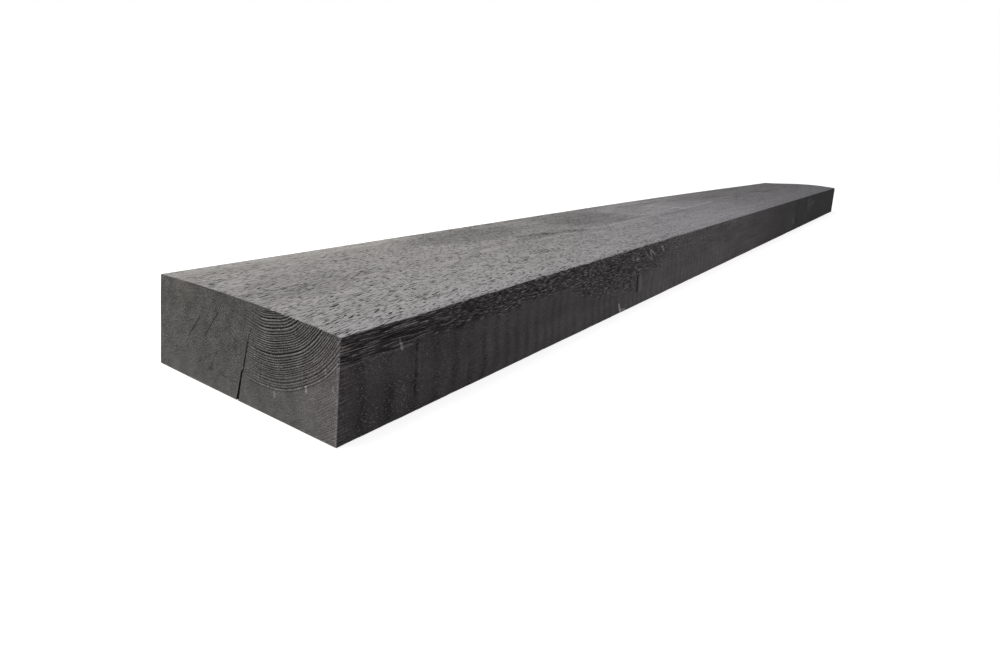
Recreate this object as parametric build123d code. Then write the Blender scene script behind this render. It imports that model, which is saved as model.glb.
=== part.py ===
"""Railway sleeper: one sawn softwood beam with a cupped top face, eased arrises and a drying check.

The origin is the centre of the underside. X runs along the grain, Y across it, and Z is up.
The near end, with the open check, is at -X, and the front side is at -Y.
"""
from build123d import *
import math
import os

# Section of the beam
WIDTH = 200.0
EDGE_THICKNESS = 72.5  # along the two long sides
TOP_CROWN = 2.5  # rise of the cupped top face above its edges, at mid-width
TOP_ARRIS_RADIUS = 2.0
BOTTOM_ARRIS_RADIUS = 1.5

# Length and ends
LENGTH = 2000.0
END_EASE = 0.8  # bevel round each cross-cut end

# Heart of the tree: the growth rings are centred here, and checks run along rays from it
PITH_FROM_FRONT = 75.0
PITH_ABOVE_EDGES = 38.0

# Drying check, open in the near end and in the underside
CHECK_FROM_FRONT = 101.0  # at the underside
CHECK_HEIGHT = 46.5  # above the underside, at the near end
CHECK_FOOT_WIDTH = 2.6
CHECK_TIP_WIDTH = 0.9
CHECK_DEPTH = 160.0  # along the grain
CHECK_END_HEIGHT = 3.0  # where it closes, inside the beam
CHECK_END_WIDTH = 0.6
CUT_MARGIN = 1.0  # how far the cutting solid reaches below the underside

NEAR_END = -LENGTH / 2
FRONT_SIDE = -WIDTH / 2


def beam_section():
    """Section across the grain: flat underside, straight sides and a top that rises as one arc."""
    half = WIDTH / 2
    with BuildSketch(Plane.YZ) as section:
        with BuildLine():
            Polyline((half, EDGE_THICKNESS), (half, 0), (-half, 0), (-half, EDGE_THICKNESS))
            ThreePointArc((-half, EDGE_THICKNESS), (0, EDGE_THICKNESS + TOP_CROWN), (half, EDGE_THICKNESS))
        make_face()
        fillet(section.vertices().group_by(Axis.Y)[0], BOTTOM_ARRIS_RADIUS)
        fillet(section.vertices().group_by(Axis.Y)[-1], TOP_ARRIS_RADIUS)
    return section.sketch


def sawn_beam():
    """The beam as sawn: the section along the whole length, with both cross-cut ends eased."""
    beam = extrude(beam_section(), LENGTH / 2, both=True)
    ends = beam.faces().filter_by(Plane.YZ)
    return chamfer(ends.edges(), END_EASE)


def check_outline(x, height, foot_width, tip_width):
    """Tapered slot across the grain at x, which stands on the underside and leans along its ray."""
    foot_y = FRONT_SIDE + CHECK_FROM_FRONT
    pith_y = FRONT_SIDE + PITH_FROM_FRONT
    pith_z = EDGE_THICKNESS + PITH_ABOVE_EDGES
    lean = math.atan2(pith_y - foot_y, pith_z)
    slope = math.tan(lean)
    half_foot = foot_width / 2 / math.cos(lean)
    half_tip = tip_width / 2 / math.cos(lean)
    flare = (half_foot - half_tip) / height
    below = -CUT_MARGIN
    half_below = half_foot + flare * CUT_MARGIN
    corners = [
        (x, foot_y + slope * below - half_below, below),
        (x, foot_y + slope * below + half_below, below),
        (x, foot_y + slope * height + half_tip, height),
        (x, foot_y + slope * height - half_tip, height),
    ]
    return Face(Wire.make_polygon(corners))


def drying_check():
    """Wedge of the open check: full height in the near end, closing along the grain."""
    mouth = check_outline(NEAR_END, CHECK_HEIGHT, CHECK_FOOT_WIDTH, CHECK_TIP_WIDTH)
    close = check_outline(NEAR_END + CHECK_DEPTH, CHECK_END_HEIGHT, CHECK_END_WIDTH, CHECK_END_WIDTH)
    return loft([mouth, close], ruled=True)


sleeper = sawn_beam() - drying_check()

os.makedirs("parts", exist_ok=True)
export_step(sleeper, "parts/sleeper.step")
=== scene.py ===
"""Railway sleeper: the look of a rough-sawn, charcoal-stained softwood beam.

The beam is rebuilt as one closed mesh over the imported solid's outline. All its relief (growth rings, torn
grain, saw marks, worn arrises, drying checks) goes inwards, so the mesh stays within the solid's box.
Relief is worked out in millimetres and the mesh is written in metres. X runs along the grain, from the near
end at -X, and the front side is at -Y. "along" is the distance from the near end.
"""
import math
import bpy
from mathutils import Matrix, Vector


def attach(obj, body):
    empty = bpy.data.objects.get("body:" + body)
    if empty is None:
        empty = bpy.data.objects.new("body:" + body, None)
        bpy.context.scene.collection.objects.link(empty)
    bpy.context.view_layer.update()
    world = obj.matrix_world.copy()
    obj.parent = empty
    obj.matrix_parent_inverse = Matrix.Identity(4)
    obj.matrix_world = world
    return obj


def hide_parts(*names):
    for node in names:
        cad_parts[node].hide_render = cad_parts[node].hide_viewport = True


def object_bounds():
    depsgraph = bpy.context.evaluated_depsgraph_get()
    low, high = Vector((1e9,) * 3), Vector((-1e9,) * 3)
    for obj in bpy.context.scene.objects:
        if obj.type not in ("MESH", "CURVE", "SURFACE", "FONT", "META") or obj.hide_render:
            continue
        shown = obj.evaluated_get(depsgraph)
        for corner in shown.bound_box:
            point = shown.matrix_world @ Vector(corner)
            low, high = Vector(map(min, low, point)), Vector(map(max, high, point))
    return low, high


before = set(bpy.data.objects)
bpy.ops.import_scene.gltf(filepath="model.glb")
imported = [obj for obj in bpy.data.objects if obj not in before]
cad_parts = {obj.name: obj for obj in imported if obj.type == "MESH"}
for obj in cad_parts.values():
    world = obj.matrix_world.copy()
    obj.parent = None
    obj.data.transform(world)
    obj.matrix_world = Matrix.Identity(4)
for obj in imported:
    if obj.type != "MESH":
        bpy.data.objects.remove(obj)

from types import SimpleNamespace

import bpy
import numpy as np
from mathutils import Matrix, Vector
from mathutils.geometry import delaunay_2d_cdt

cad_low, cad_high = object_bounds()

MM = 0.001

# Beam, in millimetres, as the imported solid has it
LENGTH, WIDTH, HEIGHT = (side / MM for side in cad_high - cad_low)
HALF_WIDTH = WIDTH / 2
TOP_CROWN = 2.5
TOP_ARRIS = 0.9
BOTTOM_ARRIS = 0.6
END_EASE = 0.5

# Growth rings: the pith at the near end, and the ring width by radius
PITH_Y, PITH_Z = -25.0, 110.5
RING_WIDTH = 1.85
NARROW_FROM, NARROW_WIDTH = 58.0, 1.7
OUTER_FROM, OUTER_WIDTH = 92.0, 1.55

# Wind of the beam: the top's back edge sinks towards the far end
SINK_FROM, SINK_TO, SINK_DEPTH = 700.0, 2600.0, 11.0

# Torn strip under the front side's top arris
LEDGE_HEIGHT = 52.0
LEDGE_LENGTH = 72.0
TEAR_ALONG = 74.0  # line torn across the side, below the strip

# Main drying check, open in the near end and in the underside
CHECK_FOOT = 101.2
CHECK_TOP = 46.5
CHECK_LENGTH = 158.0

# Saw marks across the sides
SAW_PITCH = 26.5
SAW_LEAN = 0.06
SAW_START = 47.0  # the first trough
SAW_NARROW_PITCH = 16.0
SAW_NARROW_FROM, SAW_NARROW_EASE = 135.0, 40.0  # where the pitch narrows, and how gently
PLAIN_SAW_SHIFT = 9.0  # the hidden faces' marks lie this far from the front's


# Arithmetic that works alike on arrays and on shader nodes

class Field:
    """A value in a material's node tree, written with plain arithmetic."""

    def __init__(self, tree, socket):
        self.tree = tree
        self.socket = socket

    def math(self, operation, *others):
        node = self.tree.nodes.new("ShaderNodeMath")
        node.operation = operation
        for slot, value in zip(node.inputs, (self, *others)):
            feed(slot, value)
        return Field(self.tree, node.outputs[0])

    def __add__(self, other):
        return self.math("ADD", other)

    __radd__ = __add__

    def __sub__(self, other):
        return self.math("SUBTRACT", other)

    def __rsub__(self, other):
        return self.math("MULTIPLY_ADD", -1.0, other)

    def __mul__(self, other):
        return self.math("MULTIPLY", other)

    __rmul__ = __mul__

    def __truediv__(self, other):
        return self.math("DIVIDE", other)


def feed(slot, value):
    """Links a field to a node's input, or sets the input to a number."""
    if isinstance(value, Field):
        value.tree.links.new(value.socket, slot)
    else:
        slot.default_value = value


def node_smooth(low, high, value):
    node = value.tree.nodes.new("ShaderNodeMapRange")
    node.interpolation_type = "SMOOTHSTEP"
    feed(node.inputs["Value"], value)
    feed(node.inputs["From Min"], low)
    feed(node.inputs["From Max"], high)
    return Field(value.tree, node.outputs["Result"])


def array_smooth(low, high, value):
    t = np.clip((value - low) / (high - low), 0.0, 1.0)
    return t * t * (3.0 - 2.0 * t)


NODES = SimpleNamespace(
    sin=lambda a: a.math("SINE"),
    cos=lambda a: a.math("COSINE"),
    hypot=lambda a, b: (a * a + b * b).math("SQRT"),
    arctan2=lambda a, b: a.math("ARCTAN2", b),
    maximum=lambda a, b: a.math("MAXIMUM", b),
    minimum=lambda a, b: a.math("MINIMUM", b),
    smooth=node_smooth,
)
ARRAYS = SimpleNamespace(
    sin=np.sin,
    cos=np.cos,
    hypot=np.hypot,
    arctan2=np.arctan2,
    maximum=np.maximum,
    smooth=array_smooth,
)


# Noise on arrays

def cell_values(seed, *cells):
    """Repeatable random numbers from -1 to 1, one for each lattice cell."""
    mixed = np.full(np.broadcast(*cells).shape, seed + 1, dtype=np.uint64)
    for cell in cells:
        mixed = (mixed ^ cell.astype(np.int64).astype(np.uint64)) * np.uint64(0x9E3779B97F4A7C15)
        mixed = mixed ^ (mixed >> np.uint64(29))
    return (mixed >> np.uint64(11)).astype(float) / 2.0**52 - 1.0


def value_noise(seed, u, v):
    """Smooth noise from -1 to 1 over the plane, with features about one unit across."""
    cell_u, cell_v = np.floor(u), np.floor(v)
    blend_u = array_smooth(0.0, 1.0, u - cell_u)
    blend_v = array_smooth(0.0, 1.0, v - cell_v)
    rows = []
    for step in (0, 1):
        left = cell_values(seed, cell_u, cell_v + step)
        right = cell_values(seed, cell_u + 1, cell_v + step)
        rows.append(left + (right - left) * blend_u)
    return rows[0] + (rows[1] - rows[0]) * blend_v


def layered_noise(seed, u, v, layers=3):
    """Noise with finer layers of half the size and half the height."""
    total = sum(value_noise(seed + k, u * 2**k, v * 2**k) / 2**k for k in range(layers))
    return total / (2.0 - 2.0 ** (1 - layers))


# Forms shared by the mesh and the material

def sunk_share(lib, along, y):
    """How far the beam is thinner than at the near end, as a share of its height."""
    return lib.smooth(SINK_FROM, SINK_TO, along) * lib.smooth(-60.0, 110.0, y) * (SINK_DEPTH / HEIGHT)


def top_height(lib, along, y):
    """Height of the crowned top face above the underside."""
    return (HEIGHT - y * y * (TOP_CROWN / HALF_WIDTH**2)) * (1.0 - sunk_share(lib, along, y))


def pith(lib, along):
    """The pith's place across the grain, which wanders along the beam."""
    y = 7.0 * (lib.sin(along * 0.0036 + 0.3) - math.sin(0.3)) + PITH_Y
    z = 6.0 * (lib.sin(along * 0.0052 + 1.1) - math.sin(1.1)) + PITH_Z
    return y, z


def ring_wave(lib, radius, angle):
    """How far a ring strays from a circle."""
    return (
        0.9 * lib.sin(angle * 2.0 + 0.6)
        + 0.5 * lib.sin(angle * 5.0 + radius * 0.03 + 1.3)
        + 0.22 * lib.sin(angle * 13.0 + radius * 0.07 + 2.0)
    )


def rings_within(lib, reach):
    """Number of growth rings within a radius; good and bad years make their width uneven."""
    narrower = 1 / NARROW_WIDTH - 1 / RING_WIDTH
    outer = 1 / OUTER_WIDTH - 1 / NARROW_WIDTH
    return (
        reach / RING_WIDTH
        + lib.maximum(reach - NARROW_FROM, 0.0) * narrower
        + lib.maximum(reach - OUTER_FROM, 0.0) * outer
        + 0.36 * lib.sin(reach / 3.1)
        + 0.11 * lib.sin(reach / 1.3 + 1.0)
    )


def polar(lib, along, y, z):
    """Radius and angle about the pith; the angle is 0 straight down and grows towards the back."""
    pith_y, pith_z = pith(lib, along)
    return lib.hypot(y - pith_y, pith_z - z), lib.arctan2(y - pith_y, pith_z - z)


def ring_turns(lib, along, y, z):
    """Number of growth rings between the pith and a point."""
    radius, angle = polar(lib, along, y, z)
    return rings_within(lib, radius + ring_wave(lib, radius, angle))


def ring_groove(lib, along, y, z):
    """1 in the soft wood between two rings, which wears away, and 0 on the hard ring."""
    return lib.cos(ring_turns(lib, along, y, z) * (2 * math.pi)) * 0.5 + 0.5


def ring_strength(lib, along, y, z):
    """How plainly each ring stands out in an end: most in the heartwood on the front's side of the check."""
    radius, angle = polar(lib, along, y, z)
    sector = 0.28 + 0.72 * lib.smooth(0.22, -0.10, angle)
    sapwood = lib.smooth(OUTER_FROM - 2.0, OUTER_FROM + 0.5, radius + ring_wave(lib, radius, angle))
    beside_front = lib.smooth(26.0 - HALF_WIDTH, 6.0 - HALF_WIDTH, y)
    heart = 1.0 - (0.88 - 0.32 * beside_front) * sapwood
    inner = 0.55 + 0.45 * lib.smooth(90.0, 66.0, radius)
    uneven = 0.76 + 0.24 * lib.sin(ring_turns(lib, along, y, z) * 2.4)
    return sector * heart * inner * uneven


def torn_share(lib, along, z, stray):
    """How far the front side's grain is torn there, from 0 to 1; stray makes the torn edge uneven."""
    ragged = lib.smooth(LEDGE_LENGTH - 10.0, LEDGE_LENGTH + 15.0, along)
    spread = lib.smooth(280.0, 400.0, along)
    edge = (
        LEDGE_HEIGHT
        + ragged * (1.6 * lib.sin(along / 11.0) + 1.1 * lib.sin(along / 4.3 + 1.0))
        - 25.0 * spread
        + 16.0 * lib.smooth(425.0, 500.0, along)
        + 16.0 * spread * stray
    )
    softness = 0.7 + 2.6 * ragged + 9.0 * spread
    fade = 1.0 - 0.7 * lib.smooth(430.0, 700.0, along) - 0.2 * lib.smooth(700.0, 1000.0, along)
    return lib.smooth(edge - softness, edge + softness, z) * fade


def check_course(lib, z):
    """Distance of the main check from the front side at a height, with the jog half-way up."""
    return CHECK_FOOT - 0.2 * z - 1.2 * lib.smooth(22.6, 24.6, z)


def check_half_width(lib, z):
    """Half the main check's width at a height; slivers of wood nearly bridge it twice."""
    lower = 1.0 - 0.4 * lib.smooth(0.0, 22.0, z)
    half = lower - 0.12 * lib.smooth(22.0, 25.0, z) - 0.18 * lib.smooth(25.0, CHECK_TOP, z)
    for bridge in (26.0, 36.5):
        half = half * (1.0 - 0.8 * lib.smooth(bridge - 1.6, bridge, z) * lib.smooth(bridge + 1.6, bridge, z))
    return half


def saw_wave(lib, along, across):
    """Washboard left by the saw: 1 on a ridge and -1 in a trough."""
    place = along + across * SAW_LEAN + 1.2 * lib.sin(across / 6.0 + along / 90.0)
    beyond = place - SAW_NARROW_FROM
    narrower = 0.5 / SAW_NARROW_PITCH - 0.5 / SAW_PITCH
    turns = (place - SAW_START) / SAW_PITCH + (beyond + lib.hypot(beyond, SAW_NARROW_EASE)) * narrower
    slip = 1.6 * lib.sin(along / 37.0) + 1.3 * lib.sin(along / 15.7 + 1.0)
    slip = slip * lib.smooth(150.0, 300.0, along)
    return -1.0 * lib.cos(turns * (2 * math.pi) + slip - 0.65)


def saw_trough(lib, along, across):
    """1 in the rough bottom of the washboard's troughs, 0 on its smooth ridges."""
    return lib.smooth(-0.1, -0.85, saw_wave(lib, along, across))


# Relief of each face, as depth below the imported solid's face in millimetres

def front_relief(along, z):
    """Relief of the front side: torn strips, saw troughs, a torn line and worn ring ends."""
    torn = torn_share(ARRAYS, along, z, layered_noise(13, along / 24.0, z / 11.0, 2))
    slanted = z + 0.05 * along
    strips = layered_noise(11, along / 30.0, slanted / 2.6, 2)
    fibres = value_noise(17, along / 18.0, slanted / 1.5)
    torn_depth = 0.25 + 0.9 * array_smooth(-0.2, 0.3, strips) + 0.5 * np.maximum(fibres, 0.0)
    torn_depth = torn_depth * (1.0 - 0.35 * array_smooth(60.0, 150.0, along))
    patchy = array_smooth(-0.5, 0.5, value_noise(19, along / 14.0, z / 16.0))
    patchy = patchy * array_smooth(260.0, 90.0, along)
    trough = saw_trough(ARRAYS, along, z) * array_smooth(0.0, 9.0, z) * patchy
    rough = array_smooth(-0.1, 0.5, value_noise(23, along / 3.2, z / 2.4))
    sawn_depth = 0.08 + 0.2 * trough + 0.45 * rough * trough
    ring_ends = 0.7 * ring_groove(ARRAYS, along, -HALF_WIDTH, z) * np.exp(-along / 5.0)
    off_tear = along - TEAR_ALONG - 1.9 * value_noise(29, z / 3.5, along * 0.0)
    tear = (0.75 + 0.35 * value_noise(53, z / 5.0, along * 0.0)) * np.exp(-((off_tear / 1.4) ** 2))
    tear = tear * array_smooth(LEDGE_HEIGHT + 2.0, LEDGE_HEIGHT - 2.0, z)
    return torn * torn_depth + (1.0 - torn) * (sawn_depth + tear) + ring_ends


def top_relief(along, y):
    """Relief of the top face: a slow swell and lifted grain, which die out at the back edge."""
    swell = 0.2 * (1.0 + layered_noise(31, along / 90.0, y / 30.0, 2)) / 2
    lifted = array_smooth(0.05, 0.75, layered_noise(37, along / 13.0, y / 4.0, 2))
    return (swell + 0.24 * lifted) * array_smooth(HALF_WIDTH, HALF_WIDTH - 25.0, y)


def plain_relief(seed):
    """Relief of a hidden long face: the same saw marks and a light nap."""
    def relief(along, across):
        trough = saw_trough(ARRAYS, along + PLAIN_SAW_SHIFT, across)
        nap = layered_noise(seed, along / 14.0, across / 6.0, 2)
        return 0.03 + 0.15 * trough + 0.06 * (1.0 + nap)
    return relief


def end_relief(end_along, y, z):
    """Relief of an end face: worn rings, patchy along each ring, and a nap."""
    groove = ring_groove(ARRAYS, end_along, y, z) * ring_strength(ARRAYS, end_along, y, z)
    radius, angle = polar(ARRAYS, end_along, y, z)
    patchy = 0.65 + 0.5 * layered_noise(43, angle * radius / 7.0, radius / 1.9, 2)
    nap = 0.5 + 0.5 * layered_noise(47, y / 2.4, z / 2.4, 2)
    return 0.05 + 0.8 * groove * patchy + 0.25 * nap


def nick_depth(seed, along):
    """Wear of a long arris: shallow all along, with worn stretches and short deeper nicks."""
    worn = array_smooth(0.0, 0.3, value_noise(seed + 2, along / 42.0, along * 0.0))
    wide = array_smooth(0.2, 0.4, value_noise(seed, along / 16.0, along * 0.0))
    short = array_smooth(0.3, 0.6, value_noise(seed + 1, along / 5.0, along * 0.0))
    inner = array_smooth(1.0, 8.0, np.minimum(along, LENGTH - along))
    return 0.2 + 0.8 * worn + (0.7 * wide + 0.6 * short) * inner


# Mesh

def graded(start, stop, first, last):
    """Positions from start to stop, whose steps go evenly from about first to about last."""
    steps = np.linspace(first, last, max(2, round(2 * abs(stop - start) / (first + last))))
    places = np.concatenate([[0.0], np.cumsum(steps)])
    return start + places * (stop - start) / places[-1]


def section_outline():
    """Points round the section and their outward normals, from the foot of the front side upwards."""
    crown_radius = (HALF_WIDTH**2 + TOP_CROWN**2) / (2 * TOP_CROWN)
    crown_centre = HEIGHT - crown_radius
    top_y = HALF_WIDTH - TOP_ARRIS
    top_z = crown_centre + math.sqrt((crown_radius - TOP_ARRIS) ** 2 - top_y**2)
    lean = math.asin(top_y / (crown_radius - TOP_ARRIS))
    foot_y = HALF_WIDTH - BOTTOM_ARRIS
    points = []

    def line(places):
        points.extend(places[:-1])

    def arc(y, z, radius, first, last, steps):
        for turn in np.linspace(first, last, steps + 1)[:-1]:
            normal = (math.cos(turn), math.sin(turn))
            points.append((y + radius * normal[0], z + radius * normal[1], *normal))

    rough_from = LEDGE_HEIGHT - 10.0
    front = [*graded(BOTTOM_ARRIS, rough_from, 1.5, 1.3)[:-1], *graded(rough_from, top_z, 1.3, 1.2)]
    line([(-HALF_WIDTH, z, -1.0, 0.0) for z in front])
    arc(-top_y, top_z, TOP_ARRIS, math.pi, math.pi / 2 + lean, 2)
    for y in graded(-top_y, top_y, 1.6, 3.0)[:-1]:
        turn = math.acos(y / crown_radius)
        points.append((y, crown_centre + crown_radius * math.sin(turn), math.cos(turn), math.sin(turn)))
    arc(top_y, top_z, TOP_ARRIS, math.pi / 2 - lean, 0.0, 2)
    line([(HALF_WIDTH, z, 1.0, 0.0) for z in graded(top_z, BOTTOM_ARRIS, 7.0, 7.0)])
    arc(foot_y, BOTTOM_ARRIS, BOTTOM_ARRIS, 0.0, -math.pi / 2, 2)
    line([(y, 0.0, 0.0, -1.0) for y in graded(foot_y, -foot_y, 14.0, 14.0)])
    arc(-foot_y, BOTTOM_ARRIS, BOTTOM_ARRIS, -math.pi / 2, -math.pi, 2)
    return np.array(points).T


def stations_along():
    """Places along the beam where the mesh has a loop: close together at the near end, wider at the far."""
    return np.concatenate([
        [0.0],
        graded(END_EASE, 500.0, 1.5, 3.6),
        graded(500.0, LENGTH - 12.0, 3.6, 13.0)[1:],
        graded(LENGTH - 12.0, LENGTH - END_EASE, 3.0, 2.0)[1:],
        [LENGTH],
    ])


CORNERS = ((-1, 1, 61), (1, 1, 67), (1, 0, 71), (-1, 0, 73))  # side, upper or lower, and noise seed


def corner_distance(y, z, side, upper):
    return np.hypot(y - side * HALF_WIDTH, z - upper * (HEIGHT - TOP_CROWN))


def long_faces():
    """Displaced loops of points round the beam, one loop for each station along it."""
    y, z, normal_y, normal_z = section_outline()
    along = stations_along()[:, None]
    around = np.arange(len(y)) * 1.0
    front, back = np.maximum(-normal_y, 0.0) ** 2, np.maximum(normal_y, 0.0) ** 2
    top, under = np.maximum(normal_z, 0.0) ** 2, np.maximum(-normal_z, 0.0) ** 2
    move_y = front * front_relief(along, z) - back * plain_relief(53)(along, z)
    move_z = under * plain_relief(59)(along, y) - top * top_relief(along, y)
    for station, end_along in ((0, 0.0), (-1, LENGTH)):
        torn = array_smooth(LEDGE_HEIGHT - 4.0, LEDGE_HEIGHT, z) * front
        fray = 0.5 * ring_groove(ARRAYS, end_along, y, z)
        fray = fray + (0.3 + 0.9 * torn) * value_noise(79, around / (2.0 - 0.7 * torn), around * 0.0)
        inset = 0.12 + np.maximum(fray, 0.0) * (0.15 + 0.95 * front + 0.85 * top * (y < 30.0))
        move_y[station] += (front - back) * inset
        move_z[station] += (under - top) * inset
    nearest = np.min([corner_distance(y, z, side, upper) for side, upper, _ in CORNERS], axis=0)
    limit = 0.3 + 0.4 * np.maximum(nearest - 0.4, 0.0)
    move_y = np.clip(move_y, -limit, limit)
    move_z = np.clip(move_z, -limit, limit)
    for side, upper, seed in CORNERS:
        wear = nick_depth(seed, along) * np.exp(-((corner_distance(y, z, side, upper) / 3.0) ** 2))
        wear = wear * (1.0 if upper and side < 0 else 0.12)
        move_y = move_y - side * wear * 0.6
        move_z = move_z + (-wear if upper else wear) * 0.6
    height = (z + move_z) * (1.0 - sunk_share(ARRAYS, along, y))
    loops = np.stack([along + 0.0 * move_y, y + move_y, height], axis=-1)
    ragged = 0.03 + 0.3 * np.maximum(value_noise(83, around / 3.0, around * 0.0), 0.0)
    loops[0, :, 0] += ragged
    loops[-1, :, 0] -= ragged
    return loops


def ring_points(end_along, arc_step):
    """Points on the grooves and crests of the growth rings in an end face."""
    reach = np.linspace(20.0, 190.0, 3401)
    counts = rings_within(ARRAYS, reach)
    pith_y, pith_z = pith(ARRAYS, end_along)
    fine = np.arange(math.ceil(counts[0] * 2), counts[-1] * 2) / 2
    outer_count = rings_within(ARRAYS, np.array(OUTER_FROM))
    chosen = fine[(fine < outer_count) | (fine % 1.0 == 0.0)]
    points = []
    for count in chosen:
        ideal = np.interp(count, counts, reach)
        angle = np.arange(-1.5, 1.5, arc_step / ideal)
        radius = np.full_like(angle, ideal)
        for _ in range(4):
            radius = ideal - ring_wave(ARRAYS, radius, angle)
        points.append(np.stack([pith_y + radius * np.sin(angle), pith_z - radius * np.cos(angle)], axis=-1))
    return np.concatenate(points)


def inside(points, outline, margin):
    """Those of the points that lie in the outline and at least a margin from it."""
    start, stop = outline, np.roll(outline, -1, axis=0)
    side = stop - start
    offset = points[:, None, :] - start[None]
    share = np.clip((offset * side).sum(-1) / (side * side).sum(-1), 0.0, 1.0)
    gap = np.linalg.norm(offset - share[..., None] * side, axis=-1).min(axis=1)
    above = start[None, :, 1] > points[:, None, 1]
    spans = above != (stop[None, :, 1] > points[:, None, 1])
    rise = np.where(side[:, 1] == 0.0, 1e-9, side[:, 1])
    crossing = start[:, 0] + (points[:, None, 1] - start[:, 1]) / rise * side[:, 0]
    crossed = spans & (points[:, None, 0] < crossing)
    return points[(crossed.sum(axis=1) % 2 == 1) & (gap > margin)]


def end_face(outline, end_along, arc_step):
    """Inner points of an end face and its triangles; the outline's own points come first."""
    inner = inside(ring_points(end_along, arc_step), outline, 0.6)
    places = [Vector(p) for p in np.concatenate([outline, inner])]
    border = list(range(len(outline)))
    found = delaunay_2d_cdt(places, [], [border], 1, 1e-6)
    flat, triangles, sources = found[0], found[2], found[3]
    order = [source[0] for source in sources]
    assert len(flat) == len(places)
    return inner, [[order[v] for v in face] for face in triangles]


def beam_mesh():
    """The whole beam as one closed mesh, in metres."""
    loops = long_faces()
    stations, around, _ = loops.shape
    points = [loops.reshape(-1, 3)]
    faces = []
    for i in range(stations - 1):
        for j in range(around):
            k = (j + 1) % around
            faces.append((i * around + j, (i + 1) * around + j, (i + 1) * around + k, i * around + k))
    total = stations * around
    for station, end_along, inward, arc_step in ((0, 0.0, 1.0, 1.5), (stations - 1, LENGTH, -1.0, 2.2)):
        inner, triangles = end_face(loops[station, :, 1:], end_along, arc_step)
        depth = end_relief(end_along, inner[:, 0], inner[:, 1])
        points.append(np.column_stack([end_along + inward * depth, inner]))
        border = range(station * around, (station + 1) * around)
        numbers = [*border, *range(total, total + len(inner))]
        turn = -1 if station == 0 else 1
        faces.extend(tuple(numbers[v] for v in triangle[::turn]) for triangle in triangles)
        total += len(inner)
    places = (np.concatenate(points) - (LENGTH / 2, 0.0, 0.0)) * MM
    mesh = bpy.data.meshes.new("sleeper_timber")
    mesh.from_pydata(places.tolist(), [], faces)
    return mesh


# Drying checks, cut into the closed mesh. Each point: distance from the front side, height, half-width

def main_check():
    """Points of the main check in the near end."""
    heights = np.concatenate([[-1.5], np.linspace(1.0, 21.0, 9), np.linspace(22.0, CHECK_TOP, 26)])
    stray = 0.28 * value_noise(89, heights / 3.0, heights * 0.0)
    return list(zip(check_course(ARRAYS, heights) + stray, heights, check_half_width(ARRAYS, heights)))


HAIR_CHECKS = (
    ((147.8, 50.0, 0.12), (152.3, 43.6, 0.36), (156.9, 38.6, 0.40), (161.8, 32.0, 0.12)),
    ((126.2, 57.4, 0.12), (131.6, 49.8, 0.30), (136.9, 43.6, 0.28), (143.0, 35.6, 0.12)),
    ((125.8, 30.0, 0.12), (129.2, 23.6, 0.28), (134.2, 14.0, 0.12)),
    ((122.0, 65.5, 0.12), (124.2, 61.4, 0.26), (125.6, 58.6, 0.12)),
)
HAIR_CHECK_DEPTH = 14.0
CHECK_CLOSE, HAIR_CLOSE = 0.16, 0.15  # size of a check at its inner end, as a share of its mouth
CUT_START = -1.0  # the cut begins this far outside the near end


def check_walls(line):
    """The two walls of a check, as points across the grain."""
    left = [(y - HALF_WIDTH - half, z) for y, z, half in line]
    right = [(y - HALF_WIDTH + half, z) for y, z, half in line]
    return left, right


def add_check(points, faces, line, depth, anchor, inner_share):
    """Adds a wedge that has the check's outline in the near end and closes towards a point inside."""
    first, count = len(points), len(line)
    for along, share in ((CUT_START, 1.0), (depth, inner_share)):
        for wall in check_walls(line):
            points.extend((
                along - LENGTH / 2,
                anchor[0] + (y - anchor[0]) * share,
                anchor[1] + (z - anchor[1]) * share,
            ) for y, z in wall)
    mouth_left, mouth_right, inner_left, inner_right = (first + count * k for k in range(4))
    for i in range(count - 1):
        faces.append((mouth_left + i, mouth_left + i + 1, mouth_right + i + 1, mouth_right + i))
        faces.append((inner_left + i, inner_right + i, inner_right + i + 1, inner_left + i + 1))
        faces.append((mouth_left + i, inner_left + i, inner_left + i + 1, mouth_left + i + 1))
        faces.append((mouth_right + i, mouth_right + i + 1, inner_right + i + 1, inner_right + i))
    last = count - 1
    faces.append((mouth_left, mouth_right, inner_right, inner_left))
    faces.append((mouth_left + last, inner_left + last, inner_right + last, mouth_right + last))


def cut_checks(beam):
    """Cuts the drying checks out of the beam."""
    points, faces = [], []
    line = main_check()
    foot_y, foot_z, _ = line[0]
    add_check(points, faces, line, CHECK_LENGTH, (foot_y - HALF_WIDTH, foot_z), CHECK_CLOSE)
    for line in HAIR_CHECKS:
        middle_y, middle_z, _ = line[len(line) // 2]
        add_check(points, faces, line, HAIR_CHECK_DEPTH, (middle_y - HALF_WIDTH, middle_z), HAIR_CLOSE)
    mesh = bpy.data.meshes.new("checks")
    mesh.from_pydata((np.array(points) * MM).tolist(), [], faces)
    cutter = bpy.data.objects.new("checks", mesh)
    bpy.context.scene.collection.objects.link(cutter)
    cut = beam.modifiers.new("checks", "BOOLEAN")
    cut.operation = "DIFFERENCE"
    cut.solver = "EXACT"
    cut.object = cutter
    whole = beam.data
    beam.data = bpy.data.meshes.new_from_object(beam.evaluated_get(bpy.context.evaluated_depsgraph_get()))
    beam.modifiers.clear()
    bpy.data.objects.remove(cutter)
    bpy.data.meshes.remove(mesh)
    bpy.data.meshes.remove(whole)
    beam.data.name = "sleeper_timber"


def face_gaps(centres):
    """Depth of points below each nominal face: near end, far end, front, back, top and underside."""
    along, y, z = centres[:, 0] + LENGTH / 2, centres[:, 1], centres[:, 2]
    below_top = top_height(ARRAYS, along, y) - z
    return np.stack([along, LENGTH - along, y + HALF_WIDTH, HALF_WIDTH - y, below_top, z])


SMOOTH_FACES = (3, 4, 5)  # back, top and underside; torn and cut faces keep their facets


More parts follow.
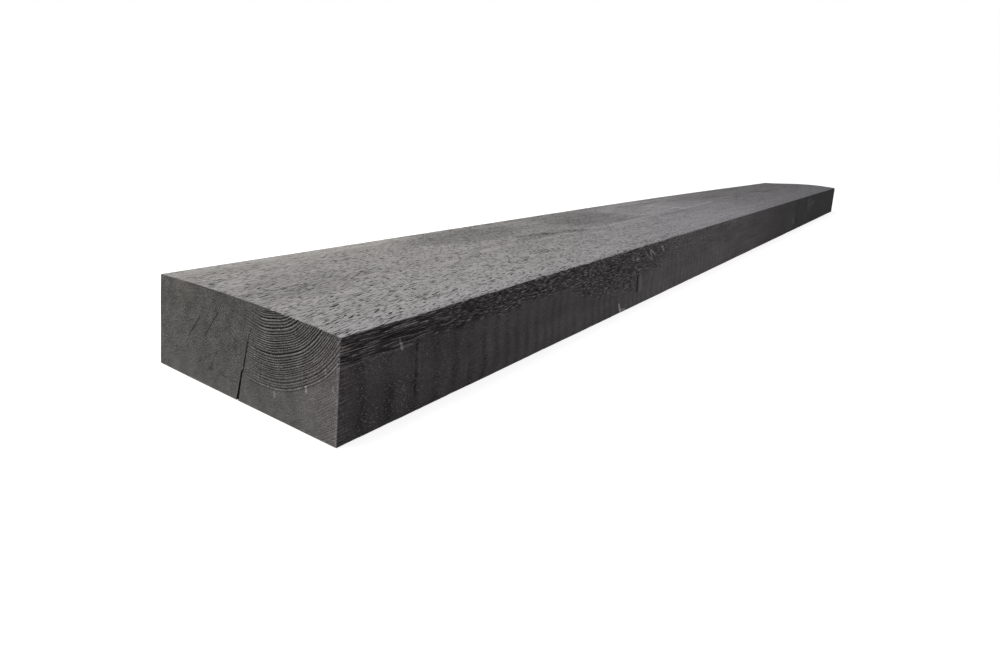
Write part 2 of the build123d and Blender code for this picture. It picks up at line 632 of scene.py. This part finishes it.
def shade(mesh):
    """Soft shading on the smoother faces, facets where the wood is cut or torn."""
    centres = np.empty(len(mesh.polygons) * 3)
    mesh.polygons.foreach_get("center", centres)
    gaps = face_gaps(centres.reshape(-1, 3) / MM)
    mesh.polygons.foreach_set("use_smooth", np.isin(gaps.argmin(axis=0), SMOOTH_FACES))


# Bake map: both halves of the beam unrolled above each other, the ends and the check's walls beside them

SHEET = 1130.0  # side of the sheet
STRIP_GAP = 5.0
HALF_SHEET = 562.0  # from one half of the beam to the other
COLUMN = 1012.0  # where the ends and the walls stand
WALL_DEPTH = 2.6  # faces that lie deeper than this are walls of a check
WALL_ROW, WALL_STEP = 440.0, 180.0  # where the first walls start, and the second ones after them


def bake_map(mesh):
    """Gives every face its own part of a square sheet, at one scale."""
    corner_count = len(mesh.loops)
    corner_vertex = np.empty(corner_count, np.int32)
    mesh.loops.foreach_get("vertex_index", corner_vertex)
    places = np.empty(len(mesh.vertices) * 3)
    mesh.vertices.foreach_get("co", places)
    places = places.reshape(-1, 3)[corner_vertex] / MM
    sizes = np.empty(len(mesh.polygons), np.int32)
    mesh.polygons.foreach_get("loop_total", sizes)
    centres = np.empty(len(mesh.polygons) * 3)
    mesh.polygons.foreach_get("center", centres)
    centres = centres.reshape(-1, 3) / MM
    normals = np.empty(len(mesh.polygons) * 3)
    mesh.polygons.foreach_get("normal", normals)
    gaps = face_gaps(centres)
    face = np.repeat(np.where(gaps.min(axis=0) > WALL_DEPTH, 6, gaps.argmin(axis=0)), sizes)
    second_wall = np.repeat(normals.reshape(-1, 3)[:, 1] < 0, sizes)
    far_half = np.repeat(centres[:, 0] > 0.0, sizes)
    along, y, z = places[:, 0] + LENGTH / 2, places[:, 1] + HALF_WIDTH, places[:, 2]
    u = along - far_half * (LENGTH / 2)
    shift = far_half * HALF_SHEET
    rows = np.cumsum([STRIP_GAP, WIDTH + STRIP_GAP, HEIGHT + STRIP_GAP, HEIGHT + STRIP_GAP])
    strips = [y + rows[0], z + rows[1], z + rows[2]]
    v = np.select([face == 4, face == 2, face == 3], strips, y + rows[3]) + shift
    u = np.where(face < 2, COLUMN + z, u)
    v = np.where(face < 2, STRIP_GAP + y + (face == 1) * (WIDTH + STRIP_GAP), v)
    u = np.where(face == 6, COLUMN + z, u)
    v = np.where(face == 6, WALL_ROW + along + second_wall * WALL_STEP, v)
    layer = mesh.uv_layers.new(name="OFBake")
    layer.uv.foreach_set("vector", (np.stack([u, v], axis=-1) / SHEET).ravel())


# Material

GRAIN_SWING, GRAIN_RUN = 18.0, 150.0  # the top's fibres swing across the beam by this much, over this run
DARKEST_TONE = 0.010
ROUGHNESS, SPECULAR = 0.85, 0.08


class Spot:
    """A point of the beam as fields of a material: its place in millimetres and its depth below the faces."""

    def __init__(self, tree):
        self.tree = tree
        coords = tree.nodes.new("ShaderNodeTexCoord")
        self.vector = coords.outputs["Object"]
        split = tree.nodes.new("ShaderNodeSeparateXYZ")
        tree.links.new(self.vector, split.inputs[0])
        x, self.y, self.z = (Field(tree, socket) * (1 / MM) for socket in split.outputs)
        self.along = x + LENGTH / 2
        in_front, in_back = self.y + HALF_WIDTH, HALF_WIDTH - self.y
        below_top = top_height(NODES, self.along, self.y) - self.z
        gap_x = NODES.minimum(self.along, LENGTH - self.along)
        gap_y = NODES.minimum(in_front, in_back)
        gap_z = NODES.minimum(below_top, self.z)
        across = NODES.minimum(gap_y, gap_z)
        self.depth = NODES.minimum(gap_x, across)
        farther = NODES.minimum(NODES.maximum(gap_x, across), NODES.maximum(gap_y, gap_z))
        self.second = NODES.maximum(self.depth, farther)
        grain = tree.nodes.new("ShaderNodeCombineXYZ")
        feed(grain.inputs["X"], x * MM)
        feed(grain.inputs["Y"], (self.y - GRAIN_SWING * NODES.sin(self.along / GRAIN_RUN)) * MM)
        feed(grain.inputs["Z"], self.z * MM)
        self.grain = grain.outputs[0]
        self.is_end = NODES.smooth(-0.5, 0.5, across - gap_x)
        self.is_top = NODES.smooth(-0.6, 0.6, NODES.minimum(gap_y, self.z) - below_top)
        self.is_front = NODES.smooth(-0.6, 0.6, NODES.minimum(gap_z, in_back) - in_front)

    def noise(self, size, detail=2.0, roughness=0.5, shift=0.0, course=None):
        """Noise about 0, mostly within 0.25 of it; size is that of its features along, across and upwards."""
        scaled = self.tree.nodes.new("ShaderNodeVectorMath")
        scaled.operation = "MULTIPLY_ADD"
        self.tree.links.new(course or self.vector, scaled.inputs[0])
        scaled.inputs[1].default_value = [1 / (s * MM) for s in size]
        scaled.inputs[2].default_value = (shift, shift * 1.7, shift * 2.3)
        return self.textured(scaled.outputs[0], detail, roughness)

    def noise_at(self, place, detail, roughness):
        """Noise about 0 at three coordinates given as fields or numbers."""
        joined = self.tree.nodes.new("ShaderNodeCombineXYZ")
        for slot, value in zip(joined.inputs, place):
            feed(slot, value)
        return self.textured(joined.outputs[0], detail, roughness)

    def textured(self, place, detail, roughness):
        """The noise node that both kinds of noise use."""
        noise = self.tree.nodes.new("ShaderNodeTexNoise")
        noise.inputs["Scale"].default_value = 1.0
        noise.inputs["Detail"].default_value = detail
        noise.inputs["Roughness"].default_value = roughness
        self.tree.links.new(place, noise.inputs["Vector"])
        return Field(self.tree, noise.outputs["Fac"]) - 0.5


def blend(first, second, share):
    return first + (second - first) * share


# Stains and lighter places on the top face: along, from the front side, half-length, half-width, gain
TOP_PATCHES = (
    (60.0, 105.0, 60.0, 32.0, -0.12),
    (150.0, 78.0, 75.0, 8.0, 0.10),
    (120.0, 192.0, 190.0, 12.0, 0.12),
    (350.0, 158.0, 110.0, 36.0, -0.26),
    (405.0, 104.0, 50.0, 13.0, -0.12),
    (515.0, 72.0, 24.0, 10.0, 0.16),
    (600.0, 150.0, 110.0, 42.0, -0.12),
    (640.0, 84.0, 90.0, 9.0, 0.08),
    (860.0, 118.0, 130.0, 34.0, 0.08),
    (830.0, 84.0, 60.0, 8.0, -0.14),
    (1150.0, 140.0, 120.0, 30.0, -0.10),
)

# Lines on the top face: along and from the front side, at both ends; half-width, gain, depth added to pits
TOP_LINES = (
    (386.0, 114.0, 434.0, 107.0, 6.0, -0.12, 0.07),
    (434.0, 107.0, 512.0, 91.0, 5.0, -0.16, 0.09),
    (318.0, 58.0, 352.0, 52.0, 5.0, 0.0, 0.10),
    (645.0, 99.0, 735.0, 101.0, 3.5, -0.12, 0.0),
    (702.0, 157.0, 738.0, 104.0, 3.5, 0.20, 0.0),
    (880.0, 142.0, 908.0, 99.0, 7.0, 0.24, 0.0),
    (891.0, 95.0, 1081.0, 100.0, 3.5, 0.22, 0.0),
    (1440.0, 118.0, 1565.0, 92.0, 9.0, -0.32, 0.0),
)


def near_line(ahead, above, line, stray):
    """1 along a straight line from one point of a face to another, 0 away from it."""
    x0, z0, x1, z1, half_width = line
    step_x, step_z = x1 - x0, z1 - z0
    ahead, above = ahead - x0, above - z0
    share = (ahead * step_x + above * step_z) / (step_x**2 + step_z**2)
    share = NODES.minimum(NODES.maximum(share, 0.0), 1.0)
    away = NODES.hypot(ahead - share * step_x, above - share * step_z) + stray
    return NODES.smooth(half_width * 1.5, half_width * 0.5, away)


def patches(spot):
    """Gain of the top face's ragged stain patches and lighter places, of its lines, and of a painted shadow
    on its back half, and the depth added to its pits.
    """
    stray_along = spot.noise((40.0, 9.0, 9.0), 3.0, 0.6, 5.0) * 60.0
    stray_across = spot.noise((55.0, 12.0, 12.0), 3.0, 0.6, 9.0) * 20.0
    along, from_front = spot.along + stray_along, spot.y + HALF_WIDTH + stray_across
    total = 0.0
    for x, y, half_length, half_width, gain in TOP_PATCHES:
        away = NODES.hypot((along - x) / half_length, (from_front - y) / half_width)
        total = total + gain * NODES.smooth(1.1, 0.7, away)
    # Painted shadow: a darker area with a crisp front edge over the back half of the top, from about 500 to
    # 730 mm along.
    in_shade = NODES.smooth(94.0, 101.0, from_front) * NODES.smooth(195.0, 140.0, from_front)
    in_shade = in_shade * NODES.smooth(500.0, 560.0, spot.along) * NODES.smooth(730.0, 690.0, spot.along)
    total = total - 0.18 * in_shade
    stray = spot.noise((12.0, 4.0, 4.0), 1.0, 0.5, 57.0) * 9.0
    deeper = 0.0
    for *line, gain, depth in TOP_LINES:
        beside = near_line(spot.along, spot.y + HALF_WIDTH, line, stray)
        total = total + gain * beside
        deeper = deeper + depth * beside
    return total, deeper


def top_look(spot):
    """Tone and relief of the top face."""
    fibre = spot.noise((10.0, 0.9, 0.9), 2.0, 0.7, 1.0, spot.grain)
    streak = spot.noise((220.0, 6.0, 6.0), 3.0, 0.55, 3.0)
    nap = spot.noise((2.9, 0.95, 0.95), 1.0, 0.6, 7.0, spot.grain)
    cloud = spot.noise((38.0, 16.0, 16.0), 2.0, 0.5, 2.0)
    band = spot.noise((150.0, 4.5, 4.5), 3.0, 0.6, 31.0)
    pit_noise = spot.noise((6.3, 0.78, 0.78), 0.0, 0.5, 11.0, spot.grain)
    clusters = spot.noise((26.0, 9.0, 9.0), 1.0, 0.5, 59.0)
    stains_and_painted_shadow, deeper = patches(spot)
    far_pits = spot.noise((16.0, 4.0, 4.0), 1.0, 0.6, 15.0)
    near = NODES.smooth(420.0, 0.0, spot.along)
    smooth_strip = NODES.smooth(62.0, 82.0, spot.y) * NODES.smooth(330.0, 200.0, spot.along)
    reach = pit_noise + 0.02 * near * NODES.smooth(80.0, -60.0, spot.y) - 0.06 * smooth_strip
    reach = reach + 0.23 * clusters + deeper - 0.05 * NODES.smooth(420.0, 900.0, spot.along)
    pits = NODES.smooth(0.158, 0.182, reach)
    painted_rim_highlights = NODES.smooth(0.09, 0.13, reach) - pits
    hollows = NODES.smooth(0.10, 0.18, far_pits) * NODES.smooth(100.0, 500.0, spot.along)
    farther = NODES.smooth(300.0, 900.0, spot.along) * NODES.smooth(-60.0, -10.0, spot.y)
    # The top's tone falls towards the far end, partly as the wood's own tone and partly as painted falloff of
    # the light.
    base = (
        0.250
        - 0.038 * NODES.smooth(150.0, 700.0, spot.along)
        - 0.062 * NODES.smooth(780.0, 1400.0, spot.along)
    ) * (1.0 + 0.08 * NODES.smooth(-10.0, -80.0, spot.y))
    crisp = 1.0 - 0.55 * NODES.smooth(450.0, 1000.0, spot.along)
    grain = crisp * (1.1 * fibre + 0.9 * nap) + 0.5 * streak + 0.3 * cloud + 1.5 * band * farther
    grain = 1.0 + grain + stains_and_painted_shadow
    # The pits are darkened as painted shade in the hollows that the bump cuts, and the ring round each pit is
    # lightened as a painted highlight.
    tone = base * grain * (1.0 - 0.92 * pits + 0.12 * painted_rim_highlights - 0.12 * hollows)
    height = crisp * (0.7 * fibre + 0.6 * nap) - 0.9 * pits
    return tone, height


# Pale chips and splinters on the front side: from along, height, to along, height, half-width, gain
CHIPS = (
    # The first row is a painted highlight along the top of the ledge.
    (1.0, 52.3, 68.0, 52.3, 0.8, 0.075),
    (54.8, 59.0, 55.8, 55.6, 1.0, 0.13),
    (56.2, 54.0, 57.2, 51.6, 1.3, 0.22),
    (57.0, 53.0, 66.0, 52.2, 0.9, 0.04),
    # The row at 73.4 mm paints shade into the torn line below the strip.
    (73.4, 51.0, 74.2, 2.0, 0.8, -0.030),
    (76.2, 50.0, 76.8, 24.0, 0.7, 0.03),
    (427.0, 11.0, 433.0, 1.0, 1.7, 0.38),
    (431.0, 4.0, 445.0, 2.0, 1.3, 0.30),
    (467.0, 58.0, 473.0, 58.0, 1.8, 0.25),
    (508.0, 64.0, 514.0, 57.0, 0.9, 0.35),
    (511.0, 64.0, 525.0, 57.0, 1.0, 0.35),
    (485.0, 34.0, 488.0, 21.0, 5.0, 0.07),
    (476.0, 36.0, 476.5, 19.0, 2.2, -0.14),
    (548.0, 64.0, 555.0, 58.0, 1.6, 0.28),
    (1404.0, 27.0, 1410.0, 18.0, 3.5, 0.09),
    (1440.0, 66.0, 1446.0, 20.0, 16.0, -0.010),
    (1540.0, 56.0, 1546.0, 42.0, 12.0, -0.016),
    (1562.0, 57.0, 1600.0, 62.0, 5.0, 0.03),
    (1575.0, 46.0, 1660.0, 53.0, 5.0, 0.045),
    (1585.0, 36.0, 1630.0, 38.0, 3.5, 0.02),
)


def chips(spot):
    """Light added or taken by the chips and splinters of the front side."""
    stray = spot.noise((3.0, 3.0, 3.0), 1.0, 0.5, 43.0) * 2.2
    return sum(gain * near_line(spot.along, spot.z, line, stray) for *line, gain in CHIPS)


def front_base(spot):
    """Tone of the front side without its grain, by the distance from the near end. Its rise and fall along
    the side is partly the wood's own tone and partly painted light, and its lower part is lightened as a
    painted band of light.
    """
    cloud = spot.noise((60.0, 20.0, 20.0), 2.0, 0.5, 21.0)
    base = (
        0.078
        + 0.027 * NODES.smooth(60.0, 320.0, spot.along)
        + 0.043 * NODES.smooth(340.0, 640.0, spot.along)
        - 0.105 * NODES.smooth(760.0, 1350.0, spot.along)
        - 0.016 * NODES.smooth(1400.0, 1414.0, spot.along)
        + 0.009 * NODES.smooth(1500.0, 1570.0, spot.along)
        - 0.026 * NODES.smooth(1400.0, 1750.0, spot.along)
    ) * (1.0 + 0.8 * cloud)
    lit_foot = NODES.smooth(36.0, 6.0, spot.z) * NODES.smooth(120.0, 260.0, spot.along)
    return base * (1.0 + 0.15 * lit_foot * NODES.smooth(1250.0, 950.0, spot.along))


def front_look(spot):
    """Tone and relief of the front side: torn strips above, rough troughs and smooth ridges below."""
    lines = spot.noise((23.0, 0.72, 0.72), 1.0, 0.5, 13.0)
    shreds = spot.noise((7.0, 0.85, 0.85), 1.0, 0.6, 33.0)
    chip = spot.noise((2.4, 1.5, 1.5), 1.0, 0.6, 17.0)
    grit = spot.noise((1.7, 0.85, 0.85), 0.0, 0.5, 19.0)
    tufts = spot.noise((5.5, 0.9, 0.9), 0.0, 0.5, 61.0)
    uneven = spot.noise((14.0, 18.0, 18.0), 2.0, 0.6, 27.0)
    torn = torn_share(NODES, spot.along, spot.z, 4.0 * uneven)
    ridge = saw_wave(NODES, spot.along, spot.z)
    nearness = NODES.smooth(300.0, 40.0, spot.along)
    trough = NODES.smooth(0.1, -0.9, ridge) * (0.3 + 0.7 * NODES.smooth(-0.12, 0.12, uneven))
    base = front_base(spot)
    drawn = spot.noise((80.0, 3.0, 3.0), 2.0, 0.6, 35.0) * NODES.smooth(450.0, 850.0, spot.along)
    # Painted shading of the saw marks: the ridges are lightened and, with the trough term further down, the
    # troughs are darkened.
    painted_ridge_shading = (0.10 + 0.08 * NODES.smooth(40.0, 12.0, spot.z)) * (0.7 + 2.0 * uneven)
    painted_ridge_shading = painted_ridge_shading * (1.0 - 0.6 * NODES.smooth(150.0, 330.0, spot.along))
    fine = 0.6 + 0.3 * nearness
    scatter = NODES.smooth(-0.12, 0.14, uneven + 0.06 * trough)
    flecks = NODES.smooth(0.17, 0.21, grit) * (0.1 + nearness * (0.1 + 0.75 * scatter + 0.15 * trough))
    grain = (fine + 0.5 * trough * nearness) * chip + 0.5 * shreds + 0.9 * drawn
    sawn = base * (1.0 + painted_ridge_shading * ridge + grain - 0.14 * trough) + 0.18 * flecks
    groove = ring_groove(NODES, spot.along, spot.y, spot.z)
    hatch = spot.noise((8.0, 0.9, 0.9), 0.0, 0.5, 53.0)
    ring_ends = NODES.smooth(13.0, 1.0, spot.along + 30.0 * uneven)
    sawn = sawn * (1.0 + ring_ends * (0.35 - 0.6 * groove + 1.8 * hatch))
    lined = NODES.smooth(120.0, 40.0, spot.along)
    fibre = blend(shreds, lines, 0.25 + 0.75 * lined)
    crest = NODES.smooth(0.04, 0.11, fibre)
    dull = (
        0.94
        - 0.18 * NODES.smooth(300.0, 420.0, spot.along)
        - 0.22 * NODES.smooth(550.0, 750.0, spot.along)
        - 0.07 * NODES.smooth(50.0, 90.0, spot.along) * NODES.smooth(360.0, 280.0, spot.along)
    )
    # The crests of the torn fibres are lightened as painted highlights, and the bright specks on them, added
    # below, are painted glints.
    torn_fibre = 0.30 + 2.2 * crest + 0.7 * NODES.smooth(-0.12, 0.04, fibre)
    ripped = base * dull * torn_fibre * (1.0 + 1.2 * chip)
    ripped = ripped + 0.26 * NODES.smooth(0.13, 0.18, tufts) * crest * dull
    tone = NODES.maximum(blend(sawn, ripped, torn) + chips(spot), DARKEST_TONE)
    sawn_height = (0.4 + trough * nearness) * chip + 0.25 * shreds
    return tone, blend(sawn_height, 2.6 * fibre + 0.8 * chip, torn)


# Fine lines in the near end: from the front side and height, at both ends; half-width, gain. Negative gains
# paint shade into the hairline checks, positive ones are pale tufts.
END_LINES = (
    (147.8, 50.0, 156.9, 38.6, 0.50, -0.75),
    (156.9, 38.6, 161.8, 32.0, 0.40, -0.65),
    (122.0, 65.5, 126.2, 57.4, 0.35, -0.55),
    (126.2, 57.4, 136.9, 43.6, 0.40, -0.65),
    (136.9, 43.6, 143.0, 35.6, 0.35, -0.60),
    (125.8, 30.0, 134.2, 14.0, 0.35, -0.55),
    (90.6, 47.0, 87.6, 56.0, 0.35, -0.55),
    (87.0, 58.0, 84.5, 67.0, 0.30, -0.50),
    (61.3, 18.0, 60.7, 16.2, 1.00, 0.90),
    (30.3, 31.5, 29.6, 28.2, 0.95, 1.30),
    (13.5, 48.5, 12.5, 46.0, 0.80, 0.90),
    (5.5, 39.0, 5.0, 36.0, 0.80, 0.70),
)


def end_lines(spot):
    """Gain of the painted shade in the hairline checks and of the pale tufts of the near end."""
    stray = spot.noise((30.0, 1.6, 1.6), 1.0, 0.5, 47.0) * 1.6
    from_front = spot.y + HALF_WIDTH
    total = sum(gain * near_line(from_front, spot.z, line, stray) for *line, gain in END_LINES)
    return total * NODES.smooth(20.0, 10.0, spot.along)


def end_look(spot):
    """Tone and relief of a cross-cut end: rings, a dull nap, and smoother wood outside the heart."""
    groove = ring_groove(NODES, spot.along, spot.y, spot.z)
    strength = ring_strength(NODES, spot.along, spot.y, spot.z)
    mottle = spot.noise((30.0, 1.05, 1.05), 1.0, 0.6, 23.0)
    cloud = spot.noise((60.0, 10.0, 10.0), 2.0, 0.55, 25.0)
    specks = spot.noise((20.0, 1.15, 1.15), 0.0, 0.5, 29.0)
    radius, angle = polar(NODES, spot.along, spot.y, spot.z)
    beads = spot.noise_at((angle * radius / 2.4, radius / 1.1, 0.0), 2.0, 0.6)
    bold = 0.98 + 1.9 * spot.noise_at((angle * radius / 7.0, radius / 1.8, 5.0), 1.0, 0.5)
    rays = spot.noise_at((angle * 70.0, radius / 9.0, 9.0), 1.0, 0.5)
    sapwood = NODES.smooth(OUTER_FROM - 1.5, OUTER_FROM + 0.5, radius) * NODES.smooth(0.3, 0.1, angle)
    # The ring lines darken the worn soft wood between the rings, partly as the rings' own colour and partly
    # as painted shade; the crests lighten the hard rings as a painted highlight.
    line = NODES.smooth(0.58, 0.90, groove + 1.5 * beads) * strength * NODES.maximum(bold, 0.1)
    crest = NODES.smooth(0.50, 0.10, groove - beads) * strength
    heart_edge = radius + ring_wave(NODES, radius, angle) - OUTER_FROM
    rim = NODES.smooth(0.8, 0.2, (heart_edge + 1.3).math("ABSOLUTE"))
    rim = (rim - NODES.smooth(0.8, 0.2, heart_edge.math("ABSOLUTE"))) * NODES.smooth(0.25, 0.1, angle)
    above_step = spot.z - 13.0 - 26.0 * spot.noise((60.0, 11.0, 60.0), 2.0, 0.6, 51.0)
    behind = NODES.smooth(0.0, 6.0, spot.y)
    smooth_foot = NODES.smooth(0.8, -0.8, above_step) * behind
    step = NODES.smooth(0.9, 0.2, above_step.math("ABSOLUTE")) * behind * NODES.smooth(58.0, 50.0, spot.y)
    rough = (1.0 - 0.45 * sapwood) * (1.0 - 0.5 * smooth_foot)
    dark = NODES.smooth(0.19, 0.23, specks) * rough
    pale = NODES.smooth(-0.19, -0.23, specks) * rough
    sides = 1.0 + 0.12 * NODES.smooth(-40.0, -85.0, spot.y) + 0.05 * NODES.smooth(30.0, 80.0, spot.y)
    nap = 0.95 * cloud + (0.85 * mottle + 0.5 * rays) * rough - 0.45 * dark + 0.55 * pale - 0.3 * step
    tone = 0.175 * sides * (1.0 + 0.12 * sapwood + 0.06 * smooth_foot + nap)
    tone = tone * NODES.maximum(1.0 - 1.1 * line + 0.6 * crest + 0.25 * rim, 0.05)
    # Painted highlight along the end's arris next to the front side.
    painted_edge_highlight = NODES.smooth(3.2, 0.8, spot.y + HALF_WIDTH + 7.0 * mottle)
    tone = NODES.maximum(tone * (1.0 + 0.4 * painted_edge_highlight + end_lines(spot)), DARKEST_TONE)
    height = 0.9 * mottle * rough - 0.4 * dark - 0.7 * line
    return tone, height


def plain_look(spot):
    """Tone and relief of the hidden long faces."""
    fibre = spot.noise((18.0, 1.6, 1.6), 3.0, 0.6, 37.0)
    streak = spot.noise((160.0, 7.0, 7.0), 2.0, 0.5, 41.0)
    ridge = saw_wave(NODES, spot.along + PLAIN_SAW_SHIFT, spot.z + spot.y)
    # The ridge term paints the saw ridges lighter and the troughs darker, as painted shading.
    return 0.11 * (1.0 + 0.8 * fibre + 0.6 * streak + 0.1 * ridge), 0.8 * fibre


def check_shade(spot):
    """1 in the main check, whose walls are darkened as painted shade."""
    off = (spot.y + HALF_WIDTH - check_course(NODES, spot.z)).math("ABSOLUTE")
    half = check_half_width(NODES, spot.z)
    between_walls = NODES.smooth(half + 0.5, half + 0.1, off)
    below_tip = NODES.smooth(CHECK_TOP + 1.0, CHECK_TOP - 1.0, spot.z)
    return between_walls * below_tip * NODES.smooth(CHECK_LENGTH + 7.0, CHECK_LENGTH - 8.0, spot.along)


def timber_material():
    """Charcoal-stained, rough-sawn softwood."""
    material = bpy.data.materials.new("stained_timber")
    material.use_nodes = True
    tree = material.node_tree
    shader = tree.nodes["Principled BSDF"]
    spot = Spot(tree)
    tone, height = plain_look(spot)
    for look, share in ((front_look, spot.is_front), (top_look, spot.is_top), (end_look, spot.is_end)):
        face_tone, face_height = look(spot)
        tone = blend(tone, face_tone, share)
        height = blend(height, face_height, share)
    # Painted shade: the colour darkens where a point lies below the faces, in the relief's hollows away from
    # the arrises, more inside the checks, and most in the main check.
    arris = NODES.smooth(4.5, 1.5, spot.second)
    painted_recess_shade = NODES.smooth(0.4, 1.7, spot.depth) * (1.0 - arris)
    inner = NODES.smooth(2.2, 5.0, spot.depth)
    tone = tone * (1.0 - 0.35 * painted_recess_shade) * (1.0 - 0.6 * inner) * (1.0 - 0.9 * check_shade(spot))
    red = 1.035 + 0.012 * spot.is_end + 0.043 * spot.is_front
    blue = (
        1.0
        + (0.06 * NODES.smooth(250.0, 900.0, spot.along) - 0.012) * spot.is_top
        - 0.0003 * (spot.y + HALF_WIDTH * 0.5) * spot.is_top
        - 0.031 * spot.is_end
        + 0.024 * spot.is_front
    )
    colour = tree.nodes.new("ShaderNodeCombineColor")
    feed(colour.inputs["Red"], tone * red)
    feed(colour.inputs["Green"], tone)
    feed(colour.inputs["Blue"], tone * blue)
    tree.links.new(colour.outputs[0], shader.inputs["Base Color"])
    bump = tree.nodes.new("ShaderNodeBump")
    bump.inputs["Strength"].default_value = 1.0
    bump.inputs["Distance"].default_value = MM
    feed(bump.inputs["Height"], height)
    tree.links.new(bump.outputs[0], shader.inputs["Normal"])
    shader.inputs["Roughness"].default_value = ROUGHNESS
    shader.inputs["Specular IOR Level"].default_value = SPECULAR
    return material


# Stage

CAMERA_PLACE = Vector((-1276.75, -387.15, 211.86)) * MM
CAMERA_YAW, CAMERA_PITCH, CAMERA_ROLL = 34.66, 9.29, -4.30
CAMERA_LENS = 24.27
CAMERA_SHIFT = (0.0200, -0.1086)
SENSOR_WIDTH = 36.0


def make_camera():
    """Camera at the photograph's viewing angle: yaw from +X, pitch downwards, then roll about its line."""
    camera = bpy.data.objects.new("camera", bpy.data.cameras.new("camera"))
    bpy.context.scene.collection.objects.link(camera)
    camera.data.sensor_width = SENSOR_WIDTH
    camera.data.lens = CAMERA_LENS
    camera.data.shift_x, camera.data.shift_y = CAMERA_SHIFT
    camera.data.clip_start = 0.01
    yaw, pitch, roll = (math.radians(a) for a in (CAMERA_YAW, CAMERA_PITCH, CAMERA_ROLL))
    forward = Vector((math.cos(yaw) * math.cos(pitch), math.sin(yaw) * math.cos(pitch), -math.sin(pitch)))
    right = forward.cross(Vector((0, 0, 1))).normalized()
    up = right.cross(forward)
    rolled_right = right * math.cos(roll) - up * math.sin(roll)
    rolled_up = up * math.cos(roll) + right * math.sin(roll)
    axes = Matrix((rolled_right, rolled_up, -forward)).transposed()
    camera.matrix_world = Matrix.Translation(CAMERA_PLACE) @ axes.to_4x4()
    bpy.context.scene.camera = camera


FLOOR_RADIUS = 40.0
FLOOR_DROP = 0.0002  # the floor lies this far below the beam
FLOOR_GLOW = 0.78
FLOOR_COLOUR = (0.55, 0.55, 0.55, 1.0)
FLOOR_BOUNCE_COLOUR = (0.22, 0.22, 0.22, 1.0)
SKY_STRENGTH = 0.42
KEY_PLACE = Vector((-1.25, 0.65, 1.9))
KEY_TARGET = Vector((-0.45, 0.0, 0.0))
KEY_SIZE = 1.3
KEY_POWER = 40.0


def camera_ray(tree):
    """1 for what the camera sees directly, in a mirror or through glass, and 0 for light that bounces."""
    path = tree.nodes.new("ShaderNodeLightPath")
    seen = Field(tree, path.outputs["Is Camera Ray"])
    for way in ("Is Glossy Ray", "Is Transmission Ray"):
        seen = seen.math("MAXIMUM", Field(tree, path.outputs[way]))
    return seen


def make_floor():
    """White floor that keeps the beam's shadow and throws little light back at it."""
    place = (0.0, 0.0, -FLOOR_DROP)
    bpy.ops.mesh.primitive_circle_add(vertices=64, radius=FLOOR_RADIUS, fill_type="NGON", location=place)
    floor = bpy.context.object
    floor.name = "floor"
    material = bpy.data.materials.new("floor")
    material.use_nodes = True
    tree = material.node_tree
    tree.nodes.clear()
    output = tree.nodes.new("ShaderNodeOutputMaterial")
    glow = tree.nodes.new("ShaderNodeEmission")
    glow.inputs["Strength"].default_value = FLOOR_GLOW
    matt = tree.nodes.new("ShaderNodeBsdfDiffuse")
    matt.inputs["Color"].default_value = FLOOR_COLOUR
    both = tree.nodes.new("ShaderNodeAddShader")
    bounce = tree.nodes.new("ShaderNodeBsdfDiffuse")
    bounce.inputs["Color"].default_value = FLOOR_BOUNCE_COLOUR
    mix = tree.nodes.new("ShaderNodeMixShader")
    tree.links.new(glow.outputs[0], both.inputs[0])
    tree.links.new(matt.outputs[0], both.inputs[1])
    feed(mix.inputs[0], camera_ray(tree))
    tree.links.new(bounce.outputs[0], mix.inputs[1])
    tree.links.new(both.outputs[0], mix.inputs[2])
    tree.links.new(mix.outputs[0], output.inputs["Surface"])
    floor.data.materials.append(material)


def make_light():
    """Soft overhead light from behind the near end, under an even sky that shows as white."""
    lamp = bpy.data.objects.new("key", bpy.data.lights.new("key", "AREA"))
    bpy.context.scene.collection.objects.link(lamp)
    lamp.data.size = KEY_SIZE
    lamp.data.energy = KEY_POWER
    lamp.location = KEY_PLACE
    lamp.rotation_euler = (KEY_TARGET - KEY_PLACE).to_track_quat("-Z", "Y").to_euler()
    world = bpy.data.worlds.new("sky")
    bpy.context.scene.world = world
    world.use_nodes = True
    tree = world.node_tree
    seen = camera_ray(tree)
    strength = SKY_STRENGTH + (1.0 - SKY_STRENGTH) * seen
    feed(tree.nodes["Background"].inputs["Strength"], strength)
    tree.nodes["Background"].inputs["Color"].default_value = (1.0, 1.0, 1.0, 1.0)


def make_beam():
    """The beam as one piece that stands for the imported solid."""
    beam = bpy.data.objects.new("sleeper_timber", beam_mesh())
    bpy.context.scene.collection.objects.link(beam)
    cut_checks(beam)
    shade(beam.data)
    bake_map(beam.data)
    beam.data.materials.clear()
    beam.data.materials.append(timber_material())
    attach(beam, "root")
    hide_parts("sleeper")


make_beam()
make_floor()
make_light()
make_camera()
bpy.context.scene.view_settings.view_transform = "Standard"
